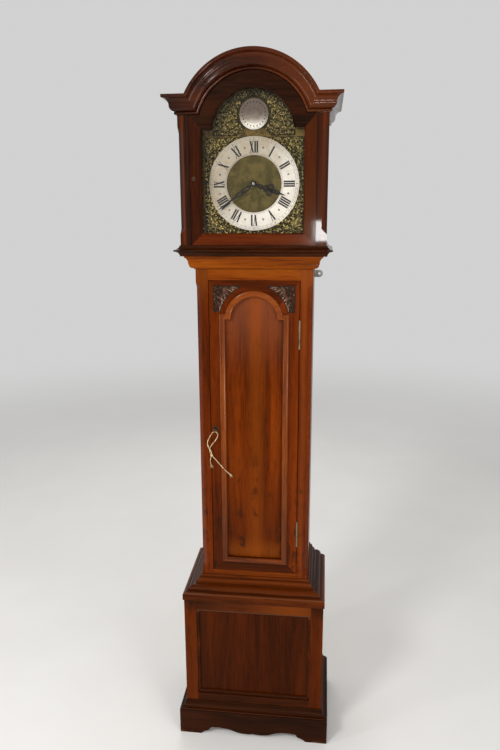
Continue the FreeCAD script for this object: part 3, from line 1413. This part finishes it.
def make_trunk_door():
    y0 = trunk_front
    y1 = trunk_front + front_board
    z0 = door_bottom_height + door_end_gap
    z1 = door_top_height - door_end_gap
    frame = box(-door_half, door_half, y0, y1, z0, z1)
    opening = prism_xz(moulding_outline(0), y0 - small_overrun, y1 + small_overrun)
    rebate = prism_xz(moulding_outline(rebate_width), y0 + door_panel_recess, y1 + small_overrun)
    frame = frame.cut(opening).cut(rebate)
    for cutter in hinge_cutters():
        frame = frame.cut(cutter)
    key_x = -(door_half - lock_from_door_edge)
    lock_y = y1 - lock_case_depth
    lock_box = box(-door_half - small_overrun, -door_half + lock_case_width, lock_y, y1 + small_overrun,
                   lock_height - lock_case_height / 2, lock_height + lock_case_height / 2)
    frame = frame.cut(lock_box)
    frame = frame.cut(rod_y(key_x, lock_height, key_shank_radius + running_fit, y0 - small_overrun, y1))
    escutcheon = escutcheon_plate(key_x, y0)
    frame = frame.cut(escutcheon.common(box(-door_half, door_half, y0, y1, z0, z1)))
    export("trunk_door_frame", frame)
    panel = prism_xz(moulding_outline(rebate_width - panel_play), y0 + door_panel_recess,
                     y0 + door_panel_recess + panel_board)
    export("trunk_door_panel", panel)
    moulding = prism_xz(moulding_outline(door_moulding_width), y0 - door_moulding_proud, y0)
    moulding = moulding.cut(prism_xz(moulding_outline(0), y0 - door_moulding_proud - small_overrun,
                                     y0 + small_overrun))
    rims = [edge for edge in moulding.Edges
            if abs(edge.BoundBox.YMax - (y0 - door_moulding_proud)) < panel_play
            and abs(edge.BoundBox.YMin - (y0 - door_moulding_proud)) < panel_play]
    moulding = moulding.makeFillet(door_moulding_round, rims)
    export("trunk_door_moulding", moulding)
    start = math.sqrt(carving_arc_radius ** 2 - carving_inner_half_width ** 2)
    low = carving_bottom_height
    arc_x = math.sqrt(carving_arc_radius ** 2 - (low - panel_arch_centre_height) ** 2)
    mid_angle = (math.atan2(start, carving_inner_half_width)
                 + math.atan2(low - panel_arch_centre_height, arc_x)) / 2
    middle = (carving_arc_radius * math.cos(mid_angle),
              panel_arch_centre_height + carving_arc_radius * math.sin(mid_angle))
    carving = prism_xz([(carving_inner_half_width, panel_arch_centre_height + start),
                        (middle, (arc_x, low)), (carving_outer_half_width, low),
                        (carving_outer_half_width, carving_top_height),
                        (carving_inner_half_width, carving_top_height)], y0 - carving_proud, y0)
    export("trunk_door_carvings", *mirrored_pair(carving))
    return key_x


def escutcheon_plate(key_x, y0):
    plate = box(key_x - escutcheon_half_width, key_x + escutcheon_half_width, y0 - panel_play,
                y0 - panel_play + escutcheon_thickness, lock_height - escutcheon_half_height,
                lock_height + escutcheon_half_height)
    uprights = [edge for edge in plate.Edges if edge.BoundBox.YLength > escutcheon_thickness / 2]
    return plate.makeFillet(escutcheon_half_width * escutcheon_round_share, uprights)


escutcheon_round_share = 0.9


def make_lock(key_x):
    y0 = trunk_front
    y1 = trunk_front + front_board
    lock_y = y1 - lock_case_depth
    bolt_z = lock_height + bolt_above_key
    bolt_y = y1 - bolt_from_back - bolt_thickness
    case = box(-door_half, -door_half + lock_case_width, lock_y, y1,
               lock_height - lock_case_height / 2, lock_height + lock_case_height / 2)
    bolt = box(-door_half, -door_half + bolt_length, bolt_y, bolt_y + bolt_thickness,
               bolt_z - bolt_height / 2, bolt_z + bolt_height / 2)
    slot = box(-door_half - small_overrun, -door_half + bolt_length + flat_play, bolt_y - sliding_play / 2,
               bolt_y + bolt_thickness + sliding_play / 2, bolt_z - bolt_height / 2 - sliding_play / 2,
               bolt_z + bolt_height / 2 + sliding_play / 2)
    cavity = rod_y(key_x, lock_height, key_cavity_radius, bolt_y, bolt_y + key_bit_depth + flat_play)
    hole = rod_y(key_x, lock_height, key_shank_radius + running_fit, lock_y - small_overrun,
                 bolt_y + key_bit_depth + flat_play)
    case = case.cut(slot).cut(cavity).cut(hole)
    plate = escutcheon_plate(key_x, y0).cut(
        rod_y(key_x, lock_height, key_shank_radius + running_fit, y0 - small_overrun, y0 + small_overrun))
    export("trunk_door_lock", case, plate)
    export("lock_bolt", bolt)
    bow_y = y0 - key_shank_proud - key_bow_radius
    shank = rod_y(key_x, lock_height, key_shank_radius, y0 - key_shank_proud, bolt_y + key_bit_depth)
    bit = box(key_x - key_bit_thickness / 2, key_x + key_bit_thickness / 2, bolt_y + flat_play / 2,
              bolt_y + key_bit_depth, lock_height - key_bit_length, lock_height)
    bow = torus_piece(Vector(key_x, bow_y, lock_height), Vector(1, 0, 0), key_bow_radius, key_bow_wire)
    export("trunk_key", shank.fuse([bit, bow]).removeSplitter())
    return bow_y


def make_hinges():
    axis_x = door_half + door_gap / 2
    axis_y = trunk_front - hinge_axis_proud
    third = hinge_length / hinge_knuckle_count
    case_leaves = []
    door_leaves = []
    leaf_front = axis_y + hinge_pin_radius + sliding_play
    leaf_back = trunk_front + hinge_leaf_depth
    for low in (hinge_low_height, hinge_high_height):
        high = low + hinge_length
        pin = rod_z(axis_x, axis_y, hinge_pin_radius, low, high)
        bore = rod_z(axis_x, axis_y, hinge_pin_radius + running_fit, low, high)
        case_leaf = box(stile_inner - hinge_leaf_thickness, stile_inner, leaf_front, leaf_back, low, high)
        door_zone = rod_z(axis_x, axis_y, hinge_knuckle_radius + sliding_play, low + third - sliding_play,
                          high - third + sliding_play)
        knuckles = [rod_z(axis_x, axis_y, hinge_knuckle_radius, low, low + third - sliding_play),
                    rod_z(axis_x, axis_y, hinge_knuckle_radius, high - third + sliding_play, high)]
        case_leaf = case_leaf.cut(door_zone).fuse(knuckles + [pin]).removeSplitter()
        case_leaves.append(case_leaf)
        door_leaf = box(door_half, door_half + hinge_leaf_thickness, leaf_front, leaf_back, low, high)
        for end_low, end_high in ((low - small_overrun, low + third), (high - third, high + small_overrun)):
            door_leaf = door_leaf.cut(rod_z(axis_x, axis_y, hinge_knuckle_radius + sliding_play,
                                            end_low, end_high))
        knuckle = rod_z(axis_x, axis_y, hinge_knuckle_radius, low + third, high - third)
        door_leaf = door_leaf.fuse(knuckle).cut(bore).removeSplitter()
        door_leaves.append(door_leaf)
    export("trunk_hinge_plates", *case_leaves)
    export("trunk_door_hinges", *door_leaves)


def cord_tube(points, diameter):
    """Straight runs joined by tangent arcs, each as large as its two runs allow."""
    route = [Vector(*point) for point in points]
    edges = []
    here = route[0]
    radii = []
    for before, corner, after in zip(route, route[1:], route[2:]):
        run_in = corner - before
        run_out = after - corner
        turn = run_in.getAngle(run_out)
        reach = bend_reach_share * min(run_in.Length, run_out.Length)
        radii.append(reach / math.tan(turn / 2))
        start = corner - run_in.normalize() * reach
        end = corner + run_out.normalize() * reach
        toward = (run_out - run_in).normalize()
        distance = radii[-1] / math.cos(turn / 2) - radii[-1]
        middle = corner + toward * distance
        edges.append(Part.LineSegment(here, start).toShape())
        edges.append(Part.Arc(start, middle, end).toShape())
        here = end
    edges.append(Part.LineSegment(here, route[-1]).toShape())
    path = Part.Wire(edges)
    section = Part.Wire(Part.makeCircle(diameter / 2, route[0], route[1] - route[0]))
    tube = path.makePipeShell([section], True, False)
    area = math.pi * diameter ** 2 / 4
    print("cord length", rounded(path.Length), "volume share", rounded(tube.Volume / (area * path.Length)),
          "radii", [rounded(radius) for radius in radii])
    return tube


# The string's routes, point by point: the loop through the bow, the long tail and the short end
knot_centre = (-116.4, -81.2, 852.5)
string_loop_route = [(-118.29, -80.70, 856.22), (-121.8, -79.76, 863.1), (-121.2, -79.6, 873.0),
                     (-115.0, -80.8, 883.6), (-106.8, -83.4, 893.6), (-99.8, -87.0, 904.2),
                     (-95.6, -90.6, 915.4), (-100.4, -92.0, 923.9), (-109.6, -92.0, 923.9),
                     (-114.4, -91.6, 915.6), (-120.6, -90.2, 905.4), (-125.4, -88.2, 894.6),
                     (-126.4, -86.4, 884.4), (-122.0, -85.6, 873.8), (-115.2, -85.4, 863.67),
                     (-115.98, -82.67, 856.41)]
string_tail_route = [(-113.43, -81.45, 849.54), (-107.56, -81.95, 843.69), (-98.4, -83.6, 834.2),
                     (-89.2, -84.6, 823.4), (-79.6, -84.9, 812.9), (-71.2, -84.4, 805.4),
                     (-65.2, -83.6, 799.6)]
string_end_route = [(-117.0, -80.9, 850.6), (-119.6, -79.8, 842.4), (-120.6, -79.6, 833.4),
                    (-118.4, -80.2, 824.6)]


def make_string():
    export("string_loop", cord_tube(string_loop_route, string_diameter))
    export("string_tail", cord_tube(string_tail_route, string_diameter))
    knot = Part.makeSphere(string_knot_radius, Vector(*knot_centre))
    export("string_knot", knot.fuse(cord_tube(string_end_route, string_diameter)).removeSplitter())


os.makedirs("parts", exist_ok=True)
make_plinth()
make_base()
make_trunk()
make_wall_plate()
make_seatboard()
make_hood()
make_mask()
make_hood_door()
make_dial()
make_hands()
escape_plane = make_going_train()
motion_stud = make_motion_work()
pin_plane = make_strike_train()
make_movement_frame(motion_stud)
make_escapement(escape_plane)
make_pendulum()
chain_hook_top = make_weight("going_weight", great_place)
make_weight("strike_weight", strike_great_place)
make_chains(chain_hook_top)
make_hammer(pin_plane)
key_place = make_trunk_door()
make_lock(key_place)
make_hinges()
make_string()
